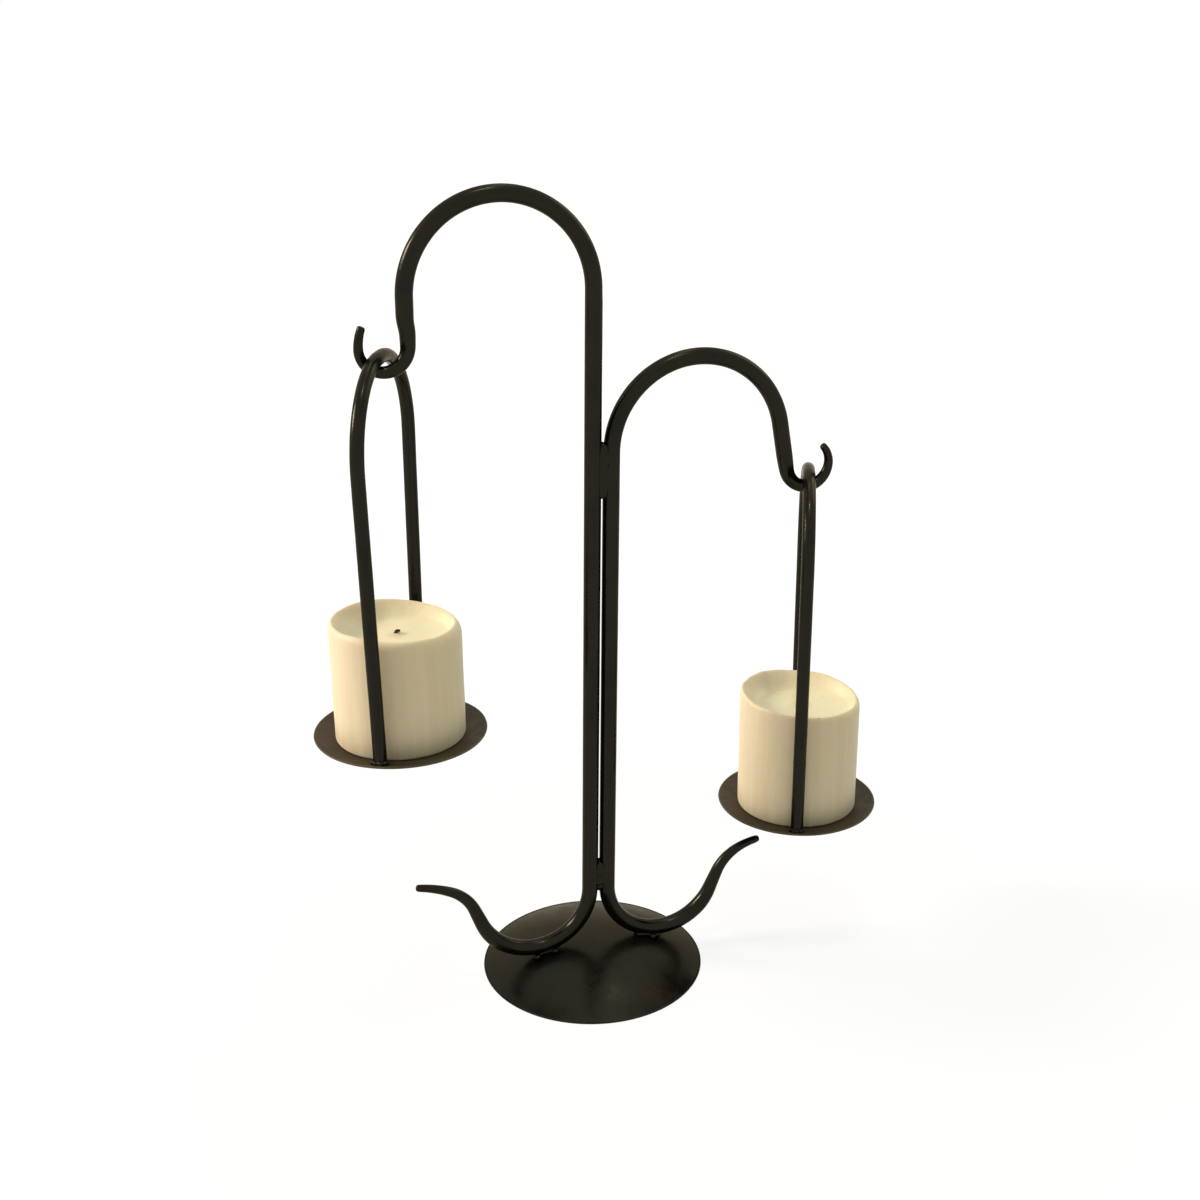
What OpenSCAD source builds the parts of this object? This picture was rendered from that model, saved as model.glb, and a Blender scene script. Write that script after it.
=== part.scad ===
// Table stand with two bent-rod arms. A pan with a pillar candle hangs from each hook by a loose bail.
// Millimetres, +Z up. The origin is the centre of the base on the table. Both rods are bent in the
// plane y = 0, with the tall arm towards -X and the short arm towards +X. They are drawn upright, and
// then leaned together by a turn about the centre of the base's dome.

/* [Base] */
// Outside radius of the pressed base
base_r = 69; // [60:1:90]
// Height of the base at its crown
base_h = 15; // [10:0.5:20]
// Thickness of the base sheet
base_t = 1.6; // [1:0.1:3]

/* [Arm rods] */
// Diameter of the rod that the arms are bent from
rod_d = 9.8; // [7:0.1:12]
// Gap between the two stems
stem_gap = 1.5; // [0.5:0.1:2]
// Distance of the gap's middle from the centre of the base, towards +X
stem_shift = 1; // [-2:0.1:2]
// Lean of both arms towards +X, in degrees. The pans hang plumb all the same.
arms_lean = 1; // [-2:0.1:2]
// Radius of both arches, at the rod's centre line
arch_r = 52.1; // [44:0.1:60]
// Height of the centre of the tall arch
tall_arch_z = 424; // [380:1:470]
// Height of the centre of the short arch
short_arch_z = 332; // [290:1:360]
// Straight rod between the tall arch and its neck
tall_neck_l = 9; // [4:0.5:20]
// Straight rod between the short arch and its hook
short_neck_l = 20; // [8:0.5:30]
// Outward lean of the short arm's neck, in degrees
short_neck_lean = 11; // [4:0.5:16]
// Sideways step in the tall arm's neck, towards the stem
tall_neck_step = 1.2; // [0.5:0.1:4]
// Height over which that step is made
tall_neck_step_h = 12; // [8:0.5:18]
// Step in radius where the forged taper of a rod's end begins
forge_step = 0.2; // [0.15:0.05:0.5]

/* [Hooks] */
// Straight tapered rod ahead of the tall arm's hook
tall_lead_l = 4.7; // [2:0.1:12]
// Straight tapered rod ahead of the short arm's hook
short_lead_l = 9; // [4:0.5:14]
// Radius of the tall arm's hook, at the rod's centre line
tall_hook_r = 13.2; // [12:0.1:18]
// Radius of the short arm's hook, at the rod's centre line
short_hook_r = 13.7; // [12.5:0.1:18]
// Length of the gentle bend that ends the tall arm's hook
tall_tip_l = 12; // [6:0.5:20]
// How far that bend turns back over the hook, in degrees
tall_tip_turn = 23; // [5:1:40]
// How far past upright the short arm's hook turns, in degrees
short_tip_turn = 50; // [20:1:70]
// Diameter of both hooks at their tips
hook_tip_d = 4.6; // [3.5:0.1:6]

/* [Tails] */
// Radius of the bend at the foot of each stem
tail_r = 36; // [28:0.5:42]
// Gap between a tail and the base, filled by the weld
root_gap = 0.4; // [0.2:0.1:1]
// Slope of the rising part of a tail, in degrees
tail_rise = 67; // [60:1:75]
// How far before the rise the rod begins to taper, in degrees of the bend
tail_taper_turn = 19; // [10:1:30]
// Straight part of the rise
tail_rise_l = 12.5; // [5:0.5:25]
// Radius of the bend over the top of the rise
tail_top_r = 30; // [20:1:45]
// Slope where the last gentle bend starts, in degrees
tail_flat = 24; // [15:1:35]
// Radius of the left tail's last gentle bend
left_tail_end_r = 76; // [40:1:90]
// Radius of the right tail's last gentle bend
right_tail_end_r = 49; // [40:1:90]
// Slope at the tip of a tail, in degrees
tail_end = 8; // [2:1:12]
// Diameter of a tail at its tip
tail_tip_d = 5; // [3.5:0.1:7]

/* [Bails] */
// Diameter of the bail rod
bail_d = 7.8; // [6:0.1:8.5]
// Radius of a bail's top bend, at the rod's centre line
bail_r = 49; // [42:0.5:55]
// Half the length of the straight rod that lies in the hook
bail_flat = 2; // [1:0.5:4]
// Height from that rod's axis down to the seat of the pan
bail_drop = 218; // [180:1:250]
// Turn of the left bail about its own upright, in degrees
left_bail_turn = 26; // [0:1:35]
// Turn of the right bail about its own upright, in degrees
right_bail_turn = 24; // [0:1:35]
// How far past its hook's lowest point the left bail lies, towards the tip, in degrees of the bend
left_rest = 26; // [0:1:40]
// How far past its hook's lowest point the right bail lies, towards the tip, in degrees of the bend
right_rest = 13; // [0:1:40]
// Gap between the bail and the hook that it hangs in
hook_gap = 0.4; // [0.2:0.05:0.6]

/* [Pans] */
// Outside radius of a pan
pan_r = 50; // [46:0.5:60]
// Rise of the pan's rim above its seat
pan_rise = 3; // [2:0.5:6]
// Thickness of the pan sheet
pan_t = 1.5; // [1:0.1:3]
// Clearance between a candle and what stands around it
candle_gap = 1.2; // [0.8:0.1:2]
// Gap under a candle
seat_gap = 0.2; // [0.1:0.05:0.4]

/* [Candles] */
// Radius of both candles
candle_r = 37.5; // [30:0.5:38]
// Height of the left candle at the high side of its rim
left_candle_h = 72; // [50:1:100]
// Height of the right candle at the high side of its rim
right_candle_h = 78; // [50:1:100]
// Slope of a burnt rim, in degrees
rim_slope = 4; // [0:0.5:6]
// Depth of the hollow below the high side of the rim
pool_depth = 11; // [8:0.5:20]
// Radius of the flat wax in the hollow
pool_r = 24; // [15:0.5:28]
// Width of the rim around the hollow
rim_w = 3.4; // [2.5:0.1:6]
// Rounding of a candle's lower edge
candle_chamfer = 1.5; // [0.5:0.1:3]
// Diameter of a wick
wick_d = 2.2; // [1.5:0.1:3]
// Clearance round a wick in the wax
wick_gap = 0.1; // [0.05:0.05:0.3]
// Straight burnt wick above the wax
wick_l = 2.5; // [1:0.5:6]
// Radius of the curl at the end of a wick
wick_curl_r = 3; // [2:0.5:6]
// How far the wick curls over, in degrees
wick_curl = 50; // [10:5:90]

/* [Welds] */
// Lowest point of the lower weld between the stems
low_weld_z = 51; // [50:0.5:60]
// Length of the lower weld
low_weld_l = 20; // [12:1:30]
// How far the upper weld runs up between the stem and the short arch, above the arch's centre
top_weld_rise = 6; // [0:0.5:7]
// Length of the upper weld
top_weld_l = 32; // [15:1:40]
// Radius of the bead between the stems
stem_weld_r = 3.6; // [2.5:0.1:4.5]
// Length of the bead between a tail and the base
tail_weld_l = 16; // [8:1:24]
// Radius of the bead between a tail and the base
tail_weld_r = 3.8; // [2.5:0.1:4.5]
// Radius of the bead round the foot of a bail
foot_weld_r = 5.2; // [4.6:0.1:5.5]

/* [Hidden] */
// Sides of the round faces, and of the large or closely fitted ones
$fn = 120;
fine = 240;
// How far a cutting solid runs past what it cuts
past = 1;

// Tapered ends: length of a step along them, and sides round them
step_l = 3;
sweep_sides = 14;
// Where two stretches of one rod join, each runs this far into the other
lap = 0.8;
// A bend is this much thinner in radius than the straight rod that runs into it
inset = 0.1;
// Rounding at the end of a tapered tip, and the turns at which its rings lie
tip_round = 0.8;
nose_turns = [30, 60, 80];

// Base: the sheet is a shell between two spheres with one centre
dome_r = (base_r * base_r + base_h * base_h) / (2 * base_h);
dome_z = base_h - dome_r;

// A turn about the dome's centre keeps both tails lying on the dome
function lean_x(x, z) = x * cos(arms_lean) + (z - dome_z) * sin(arms_lean);
function lean_z(x, z) = dome_z - x * sin(arms_lean) + (z - dome_z) * cos(arms_lean);

// Stems stand either side of the gap. Each arm is drawn on the +X side, with its stem at the distance
// sx from x = 0.
stem_x = rod_d / 2 + stem_gap / 2;
left_stem_x = stem_x - stem_shift;
right_stem_x = stem_x + stem_shift;
// A tail's lowest bend lies on the outside of the dome
tail_reach = dome_r + root_gap + tail_r + rod_d / 2;
function tail_x(sx) = sx + tail_r;
function tail_z(sx) = dome_z + sqrt(tail_reach * tail_reach - tail_x(sx) * tail_x(sx));
// Direction from the dome's centre to the point where a tail lies on it, as an angle from +X
function touch_a(sx) = acos(tail_x(sx) / tail_reach);
touch_r = dome_r + root_gap / 2;

// Paths. A state is [x, z, heading, length so far], a run is [length, turn].
function chord(l, turn) = abs(turn) < 0.001 ? l : 2 * l / (turn * PI / 180) * sin(turn / 2);
function move(s, l, turn) = [s[0] + chord(l, turn) * cos(s[2] + turn / 2),
                             s[1] + chord(l, turn) * sin(s[2] + turn / 2), s[2] + turn, s[3] + l];
function steps(run) = max(1, ceil(run[0] / step_l));
function end_of(runs, s, i = 0) = i == len(runs) ? s : end_of(runs, move(s, runs[i][0], runs[i][1]), i + 1);
function total(runs, i = 0) = i == len(runs) ? 0 : runs[i][0] + total(runs, i + 1);
function walk(runs, s, i = 0, k = 0) = i == len(runs) ? [s] :
    let (n = steps(runs[i]), next = move(s, runs[i][0] / n, runs[i][1] / n))
    concat([s], k + 1 < n ? walk(runs, next, i, k + 1) : walk(runs, next, i + 1, 0));
function arc_run(r, turn) = [r * abs(turn) * PI / 180, turn];

// Tall arm: its neck steps towards the stem and its hook opens upwards
neck_turn = 2 * atan(tall_neck_step / tall_neck_step_h);
neck_r = tall_neck_step_h / (2 * sin(neck_turn));
tall_start = [left_stem_x + 2 * arch_r, tall_arch_z - tall_neck_l, -90, 0];
tall_in = [arc_run(neck_r, -neck_turn), arc_run(neck_r, neck_turn), [tall_lead_l, 0],
           arc_run(tall_hook_r, 90)];
tall_out = [arc_run(tall_hook_r, 90), [tall_tip_l, tall_tip_turn]];

// Short arm: the arch stops early, so its neck leans out to a round hook
short_arch_end = [right_stem_x + arch_r * (1 + cos(short_neck_lean)),
                  short_arch_z + arch_r * sin(short_neck_lean), short_neck_lean - 90, 0];
short_neck_end = end_of([[short_neck_l, 0]], short_arch_end);
short_start = [short_neck_end[0], short_neck_end[1], short_neck_end[2], 0];
short_in = [[short_lead_l, 0], arc_run(short_hook_r, 90 - short_neck_lean)];
short_out = [arc_run(short_hook_r, 90 + short_tip_turn)];

// Hooks taper evenly from the neck to the tip
function hook_r_at(runs_in, runs_out, s) =
    let (l = total(runs_in) + total(runs_out)) (rod_d + (hook_tip_d - rod_d) * s / l) / 2;
tall_low = end_of(tall_in, tall_start);
short_low = end_of(short_in, short_start);
tall_rest_r = hook_r_at(tall_in, tall_out, total(tall_in) + arc_run(tall_hook_r, left_rest)[0]);
short_rest_r = hook_r_at(short_in, short_out, total(short_in) + arc_run(short_hook_r, right_rest)[0]);

// A bail's top rod lies in its hook, close to the lowest point: this is the axis that it swings on
function rest(low, hook_r, rod_r, a) = let (r = hook_r - rod_r - hook_gap - bail_d / 2)
    [low[0] + r * sin(a), low[1] + hook_r - r * cos(a)];
tall_axis = rest(tall_low, tall_hook_r, tall_rest_r, left_rest);
short_axis = rest(short_low, short_hook_r, short_rest_r, right_rest);
left_x = lean_x(-tall_axis[0], tall_axis[1]);
left_z = lean_z(-tall_axis[0], tall_axis[1]);
right_x = lean_x(short_axis[0], short_axis[1]);
right_z = lean_z(short_axis[0], short_axis[1]);

// A bail's feet stand on the pan's flare, clear of the candle
foot_y = candle_r + candle_gap + foot_weld_r;
flare_r = candle_r + candle_gap;
foot_z = -bail_drop + flare_z(foot_y);
leg_h = -bail_r - foot_z;
leg_y = foot_y - bail_flat;
leg_a = atan2(leg_h, leg_y) - acos(bail_r / sqrt(leg_y * leg_y + leg_h * leg_h));
leg_l = sqrt(leg_y * leg_y + leg_h * leg_h - bail_r * bail_r);

// The tail's exact bend stops where its taper begins
tail_stop = tail_rise - tail_taper_turn;
function tail_start(sx) = [tail_x(sx) + tail_r * sin(tail_stop), tail_z(sx) - tail_r * cos(tail_stop),
                           tail_stop, 0];
function tail_runs(end_r) = [arc_run(tail_r, tail_taper_turn), [tail_rise_l, 0],
    arc_run(tail_top_r, tail_flat - tail_rise), arc_run(end_r, tail_end - tail_flat)];

iron = [0.13, 0.11, 0.10];
weld_iron = [0.17, 0.15, 0.14];
pan_iron = [0.24, 0.19, 0.16];
wax = [0.93, 0.88, 0.74];
burnt = [0.08, 0.07, 0.06];

base_dome();
tall_crook();
short_crook();
upper_stem_weld();
lower_stem_weld();
left_tail_weld();
right_tail_weld();
left_bail();
right_bail();
left_pan();
right_pan();
left_front_weld();
left_rear_weld();
right_front_weld();
right_rear_weld();
left_candle();
right_candle();
left_wick();
right_wick();

// Round rod bent to a part of a circle in the plane y = 0, centred on the origin
module arc_rod(r, d, from, to) {
    rotate([90, 0, 0]) rotate([0, 0, from])
        rotate_extrude(angle = to - from) translate([r, 0]) circle(r = d / 2 - inset);
}

// Straight round rod of length l from a state, along its heading. It starts and ends a lap outside.
module straight_rod(s, d, l) {
    translate([s[0], 0, s[1]]) rotate([0, 90 - s[2], 0])
        translate([0, 0, -lap]) cylinder(h = l + 2 * lap, d = d);
}

// One ring of points round a state, at radius r
function ring(s, r) = [for (k = [0:sweep_sides - 1]) let (a = 360 * k / sweep_sides)
    [s[0] - r * cos(a) * sin(s[2]), r * sin(a), s[1] + r * cos(a) * cos(s[2])]];

// Forged end of an arm's rod: it tapers along its path to radius r1, with a softened tip
module tapered_rod(runs, s, r1) {
    l = total(runs);
    path = walk(runs, s);
    tip = path[len(path) - 1];
    nose = [for (a = nose_turns) [move(tip, tip_round * sin(a), 0), r1 - tip_round * (1 - cos(a))]];
    root = rod_d / 2 - forge_step;
    body = [for (p = path) [p, root + (r1 - root) * p[3] / l]];
    stations = concat([[move(s, -lap, 0), root]], body, nose);
    n = len(stations);
    m = sweep_sides;
    points = [for (t = stations) each ring(t[0], t[1])];
    sides = [for (i = [0:n - 2], k = [0:m - 1]) let (a = i * m + k, b = i * m + (k + 1) % m)
        each [[a, b, b + m], [a, b + m, a + m]]];
    ends = [[for (k = [m - 1:-1:0]) k], [for (k = [0:m - 1]) (n - 1) * m + k]];
    polyhedron(points = points, faces = concat(ends, sides), convexity = 6);
}

// Leans what was drawn upright
module leaning() {
    translate([0, 0, dome_z]) rotate([0, arms_lean, 0]) translate([0, 0, -dome_z]) children();
}

// Stem and tail of one arm. The stem goes up to the height top_z, and the radius of the tail's last
// bend is end_r.
module stem_and_tail(sx, top_z, end_r) {
    straight_rod([sx, tail_z(sx), 90], rod_d, top_z - tail_z(sx));
    tail_bend(sx);
    tapered_rod(tail_runs(end_r), tail_start(sx), tail_tip_d / 2);
}

// The bend at the foot of a stem runs on into the taper by a lap
module tail_bend(sx) {
    lap_turn = lap / tail_r * 180 / PI;
    translate([tail_x(sx), 0, tail_z(sx)]) arc_rod(tail_r, rod_d, 180, 270 + tail_stop + lap_turn);
}

module tall_crook() {
    color(iron) leaning() mirror([1, 0, 0]) {
        stem_and_tail(left_stem_x, tall_arch_z, left_tail_end_r);
        translate([left_stem_x + arch_r, 0, tall_arch_z]) arc_rod(arch_r, rod_d, 0, 180);
        straight_rod([left_stem_x + 2 * arch_r, tall_arch_z, -90], rod_d, tall_neck_l);
        tapered_rod(concat(tall_in, tall_out), tall_start, hook_tip_d / 2);
    }
}

module short_crook() {
    color(iron) leaning() {
        stem_and_tail(right_stem_x, short_arch_z, right_tail_end_r);
        translate([right_stem_x + arch_r, 0, short_arch_z]) arc_rod(arch_r, rod_d, short_neck_lean, 180);
        straight_rod(short_arch_end, rod_d, short_neck_l);
        tapered_rod(concat(short_in, short_out), short_start, hook_tip_d / 2);
    }
}

module base_dome() {
    color(iron) difference() {
        intersection() {
            translate([0, 0, dome_z]) sphere(r = dome_r, $fn = fine);
            cylinder(h = base_h + past, r = base_r + past);
        }
        translate([0, 0, dome_z]) sphere(r = dome_r - base_t, $fn = fine);
    }
}

// Bead that fills the groove between the stems. Its lowest point is at z0, and its length is l.
module stem_bead(z0, l) {
    z_ends = [z0 + stem_weld_r, z0 + l - stem_weld_r];
    translate([stem_shift, 0, 0]) difference() {
        union() {
            translate([0, 0, z_ends[0]]) cylinder(h = z_ends[1] - z_ends[0], r = stem_weld_r);
            for (z = z_ends) translate([0, 0, z]) sphere(r = stem_weld_r);
        }
        for (side = [-1, 1])
            translate([side * stem_x, 0, z0 - past]) cylinder(h = l + 2 * past, d = rod_d);
    }
}

module upper_stem_weld() {
    color(weld_iron) leaning() stem_bead(short_arch_z + top_weld_rise - top_weld_l, top_weld_l);
}

module lower_stem_weld() {
    color(weld_iron) leaning() stem_bead(low_weld_z, low_weld_l);
}

// Bead under a tail where it lies on the base
module tail_bead(sx) {
    difference() {
        translate([0, 0, dome_z]) rotate([0, 90 - touch_a(sx), 0]) translate([0, 0, touch_r])
            rotate([0, 90, 0]) cylinder(h = tail_weld_l, r = tail_weld_r, center = true, $fn = fine);
        tail_bend(sx, $fn = fine);
        translate([0, 0, dome_z]) sphere(r = dome_r, $fn = fine);
    }
}

module left_tail_weld() {
    color(weld_iron) leaning() mirror([1, 0, 0]) tail_bead(left_stem_x);
}

module right_tail_weld() {
    color(weld_iron) leaning() tail_bead(right_stem_x);
}

// Places a hanging piece: its own origin is the swing axis at the middle of the bail's top rod
module hang_left() {
    translate([left_x, 0, left_z]) rotate([0, 0, -left_bail_turn]) children();
}

module hang_right() {
    translate([right_x, 0, right_z]) rotate([0, 0, -right_bail_turn]) children();
}

// Top bend of one side of a bail, on the +Y side
module bail_bend() {
    translate([0, bail_flat, -bail_r]) rotate([0, 0, 90]) arc_rod(bail_r, bail_d, -leg_a, 90);
}

// Straight leg from that bend down into the pan
module bail_leg() {
    translate([0, bail_flat, -bail_r]) rotate([0, 0, 90])
        straight_rod([bail_r * cos(leg_a), -bail_r * sin(leg_a), -90 - leg_a], bail_d, leg_l + pan_t);
}

// Height of the flared rim above the seat at radius r
function flare_z(r) = pan_rise * (r - flare_r) / (pan_r - flare_r);

// Everything that a leg or a bead would reach below a pan's upper surface, seen from the swing axis
module under_pan_surface() {
    depth = foot_weld_r + pan_t;
    translate([0, 0, -bail_drop]) rotate_extrude()
        polygon([[0, -depth], [pan_r + past, -depth], [pan_r + past, flare_z(pan_r + past)],
                 [flare_r, 0], [0, 0]]);
}

module bail() {
    color(iron) difference() {
        union() {
            rotate([90, 0, 0]) cylinder(h = 2 * (bail_flat + lap), d = bail_d, center = true);
            for (side = [0, 1]) mirror([0, side, 0]) {
                bail_bend();
                bail_leg();
            }
        }
        under_pan_surface();
    }
}

// Bead round the foot of a leg. side is -1 for the front leg and 1 for the rear leg.
module foot_bead(side) {
    color(weld_iron) difference() {
        translate([0, side * foot_y, foot_z]) sphere(r = foot_weld_r);
        mirror([0, side < 0 ? 1 : 0, 0]) bail_leg();
        under_pan_surface();
    }
}

module pan() {
    color(pan_iron) translate([0, 0, -bail_drop]) rotate_extrude()
        polygon([[0, -pan_t], [flare_r, -pan_t], [pan_r, pan_rise - pan_t], [pan_r, pan_rise],
                 [flare_r, 0], [0, 0]]);
}

module left_bail() {
    hang_left() bail();
}

module right_bail() {
    hang_right() bail();
}

module left_pan() {
    hang_left() pan();
}

module right_pan() {
    hang_right() pan();
}

module left_front_weld() {
    hang_left() foot_bead(-1);
}

module left_rear_weld() {
    hang_left() foot_bead(1);
}

module right_front_weld() {
    hang_right() foot_bead(-1);
}

module right_rear_weld() {
    hang_right() foot_bead(1);
}

// Pillar candle of height h at the high side of its rim, standing on its own origin. The rim falls
// towards +X, and the wax in the hollow is level.
module candle(h) {
    color(wax) difference() {
        rotate_extrude()
            polygon([[0, 0], [candle_r - candle_chamfer, 0], [candle_r, candle_chamfer],
                     [candle_r, h], [0, h]]);
        translate([-candle_r, 0, h]) rotate([0, rim_slope, 0])
            translate([-candle_r, -2 * candle_r, 0]) cube(4 * candle_r);
        translate([0, 0, h - pool_depth])
            cylinder(h = pool_depth, r1 = pool_r, r2 = candle_r - rim_w);
        translate([0, 0, -past]) cylinder(h = h + past, d = wick_d + 2 * wick_gap);
    }
}

// Wick through the whole of a candle of height h, curled over at its burnt end
module wick(h) {
    pool_z = h - pool_depth;
    color(burnt) {
        cylinder(h = pool_z + wick_l, d = wick_d);
        translate([wick_curl_r, 0, pool_z + wick_l]) arc_rod(wick_curl_r, wick_d, 180 - wick_curl, 180);
    }
}

// Places a candle on the seat of its pan, without the bail's turn
module on_left_pan() {
    translate([left_x, 0, left_z - bail_drop + seat_gap]) children();
}

module on_right_pan() {
    translate([right_x, 0, right_z - bail_drop + seat_gap]) children();
}

module left_candle() {
    on_left_pan() candle(left_candle_h);
}

module right_candle() {
    on_right_pan() candle(right_candle_h);
}

module left_wick() {
    on_left_pan() wick(left_candle_h);
}

module right_wick() {
    on_right_pan() wick(right_candle_h);
}
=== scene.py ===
"""Looks of the two-arm hanging candle stand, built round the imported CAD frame.

Lengths are in millimetres up to mesh_piece(), which turns them into metres.
"""

import math

import bpy
import bmesh
import numpy as np
from mathutils import Matrix, Vector, noise


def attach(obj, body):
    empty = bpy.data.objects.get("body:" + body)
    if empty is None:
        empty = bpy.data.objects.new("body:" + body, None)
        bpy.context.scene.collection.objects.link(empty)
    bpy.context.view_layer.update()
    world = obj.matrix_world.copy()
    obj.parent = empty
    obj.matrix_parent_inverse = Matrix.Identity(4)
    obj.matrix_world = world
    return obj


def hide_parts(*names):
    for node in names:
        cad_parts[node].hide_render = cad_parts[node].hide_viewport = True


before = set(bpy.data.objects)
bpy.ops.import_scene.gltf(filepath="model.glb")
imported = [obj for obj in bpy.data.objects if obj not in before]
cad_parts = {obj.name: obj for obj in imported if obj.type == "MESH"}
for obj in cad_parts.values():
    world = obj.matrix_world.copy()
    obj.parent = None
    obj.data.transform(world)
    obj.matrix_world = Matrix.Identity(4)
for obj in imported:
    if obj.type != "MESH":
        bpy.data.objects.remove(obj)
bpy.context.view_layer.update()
MM = 0.001


# ---------------------------------------------------------------- camera
VIEW = (-17.8717, 20.7077, -0.53473)  # azimuth, pitch and roll in degrees
EYE = (-253.0796, -807.5594, 564.3986)
FOCAL_PX, PHOTO_PX, SENSOR = 1554.376, 1200, 36


def place_camera():
    """The photograph's viewpoint: a hand-held shot from the front left, a little above the stand."""
    azimuth, pitch, roll = (math.radians(a) for a in VIEW)
    back = Vector((math.sin(azimuth) * math.cos(pitch), -math.cos(azimuth) * math.cos(pitch),
                   math.sin(pitch)))
    level = Vector((math.cos(azimuth), math.sin(azimuth), 0))
    rise = back.cross(level)
    right = level * math.cos(roll) + rise * math.sin(roll)
    up = rise * math.cos(roll) - level * math.sin(roll)
    place = Vector(EYE) * MM
    data = bpy.data.cameras.new("camera")
    data.sensor_width = SENSOR
    data.lens = FOCAL_PX * SENSOR / PHOTO_PX
    data.clip_start, data.clip_end = 0.01, 50
    camera = bpy.data.objects.new("camera", data)
    bpy.context.scene.collection.objects.link(camera)
    rows = [[right[i], up[i], back[i], place[i]] for i in range(3)] + [[0, 0, 0, 1]]
    camera.matrix_world = Matrix(rows)
    bpy.context.scene.camera = camera


place_camera()


# ---------------------------------------------------------------- materials
class Nodes:
    """A material's node tree, with short calls for the nodes that the finishes share."""

    def __init__(self, name):
        self.material = bpy.data.materials.new(name)
        self.material.use_nodes = True
        self.tree = self.material.node_tree
        self.shader = self.tree.nodes["Principled BSDF"]
        self.place = self.add("ShaderNodeTexCoord").outputs["Object"]

    def add(self, kind, **settings):
        node = self.tree.nodes.new(kind)
        for key, value in settings.items():
            setattr(node, key, value)
        return node

    def feed(self, socket, source):
        if isinstance(source, bpy.types.NodeSocket):
            self.tree.links.new(source, socket)
        else:
            socket.default_value = source

    def stretched(self, scale):
        node = self.add("ShaderNodeMapping")
        self.feed(node.inputs["Vector"], self.place)
        node.inputs["Scale"].default_value = scale
        return node.outputs["Vector"]

    def noise(self, scale, detail, rough, vector=None):
        node = self.add("ShaderNodeTexNoise")
        self.feed(node.inputs["Vector"], vector or self.place)
        node.inputs["Scale"].default_value = scale
        node.inputs["Detail"].default_value = detail
        node.inputs["Roughness"].default_value = rough
        return node.outputs["Fac"]

    def cells(self, scale):
        node = self.add("ShaderNodeTexVoronoi")
        self.feed(node.inputs["Vector"], self.place)
        node.inputs["Scale"].default_value = scale
        return node.outputs["Distance"]

    def ramp(self, source, stops):
        node = self.add("ShaderNodeValToRGB")
        self.feed(node.inputs["Fac"], source)
        points = node.color_ramp.elements
        while len(points) < len(stops):
            points.new(0.5)
        for point, (at, colour) in zip(points, stops):
            point.position = at
            point.color = (*colour, 1)
        return node.outputs["Color"]

    def span(self, source, low, high, out_low=0.0, out_high=1.0):
        node = self.add("ShaderNodeMapRange")
        for socket, value in zip(("Value", "From Min", "From Max", "To Min", "To Max"),
                                 (source, low, high, out_low, out_high)):
            self.feed(node.inputs[socket], value)
        return node.outputs["Result"]

    def math(self, operation, a, b=0.0):
        node = self.add("ShaderNodeMath", operation=operation)
        self.feed(node.inputs[0], a)
        self.feed(node.inputs[1], b)
        return node.outputs["Value"]

    def mix(self, factor, a, b):
        node = self.add("ShaderNodeMix", data_type="RGBA")
        self.feed(node.inputs["Factor"], factor)
        colours = [s for s in node.inputs if s.type == "RGBA"]
        for socket, value in zip(colours, (a, b)):
            self.feed(socket, value if isinstance(value, bpy.types.NodeSocket) else (*value, 1))
        return next(s for s in node.outputs if s.type == "RGBA")

    def reach(self):
        """Distance from the piece's upright axis, and height."""
        split = self.add("ShaderNodeSeparateXYZ")
        self.feed(split.inputs[0], self.place)
        x, y, z = split.outputs
        square = self.math("ADD", self.math("MULTIPLY", x, x), self.math("MULTIPLY", y, y))
        return self.math("SQRT", square), z

    def bump(self, height, strength, depth, under=None):
        node = self.add("ShaderNodeBump")
        self.feed(node.inputs["Height"], height)
        node.inputs["Strength"].default_value = strength
        node.inputs["Distance"].default_value = depth * MM
        if under is not None:
            self.feed(node.inputs["Normal"], under)
        return node.outputs["Normal"]

    def finish(self, colour, roughness, normal, specular, tint=(1, 1, 1), **values):
        self.feed(self.shader.inputs["Base Color"], colour)
        self.feed(self.shader.inputs["Roughness"], roughness)
        self.feed(self.shader.inputs["Normal"], normal)
        self.shader.inputs["Specular IOR Level"].default_value = specular
        self.shader.inputs["Specular Tint"].default_value = (*tint, 1)
        for key, value in values.items():
            self.shader.inputs[key.replace("_", " ")].default_value = value
        return self.material


def iron_finish(name, dark, brown, rust, rough=(0.15, 0.32), pits=0.08, specular=0.26, grain=1.0,
                metal=0.8, rim=None):
    """Blackened wrought iron: a dark oiled skin over scale, browner where it has worn. rim is the radius
    in millimetres and the colour of a painted highlight, a lighter band round the piece's own axis."""
    n = Nodes(name)
    patches = n.noise(38 * grain, 5, 0.6)
    fine = n.noise(420 * grain, 6, 0.65)
    skin = n.ramp(patches, [(0.34, dark), (0.56, brown), (0.8, dark)])
    worn = n.span(n.noise(85 * grain, 8, 0.72), 0.58, 0.74)
    colour = n.mix(n.math("MULTIPLY", worn, 0.6), skin, rust)
    colour = n.mix(n.span(fine, 0.35, 0.75, 0.0, 0.45), colour, dark)
    if rim:
        rim_r, rim_highlight_colour = rim
        # Painted highlight: a lighter band at the rim, broken up in patches.
        edge = n.span(n.reach()[0], (rim_r - 0.5) * MM, (rim_r + 0.3) * MM, 0.0, 0.8)
        colour = n.mix(n.math("MULTIPLY", edge, n.span(patches, 0.3, 0.6, 0.35, 1.0)), colour, rim_highlight_colour)
    roughness = n.span(n.noise(150 * grain, 6, 0.6), 0.3, 0.7, *rough)
    scale = n.bump(n.noise(55 * grain, 3, 0.5), 0.25, 0.6)
    pitted = n.bump(n.cells(620 * grain), pits, 0.25, scale)
    normal = n.bump(fine, pits, 0.2, pitted)
    return n.finish(colour, roughness, normal, specular, (0.6, 0.55, 0.46), Metallic=metal)


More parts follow.
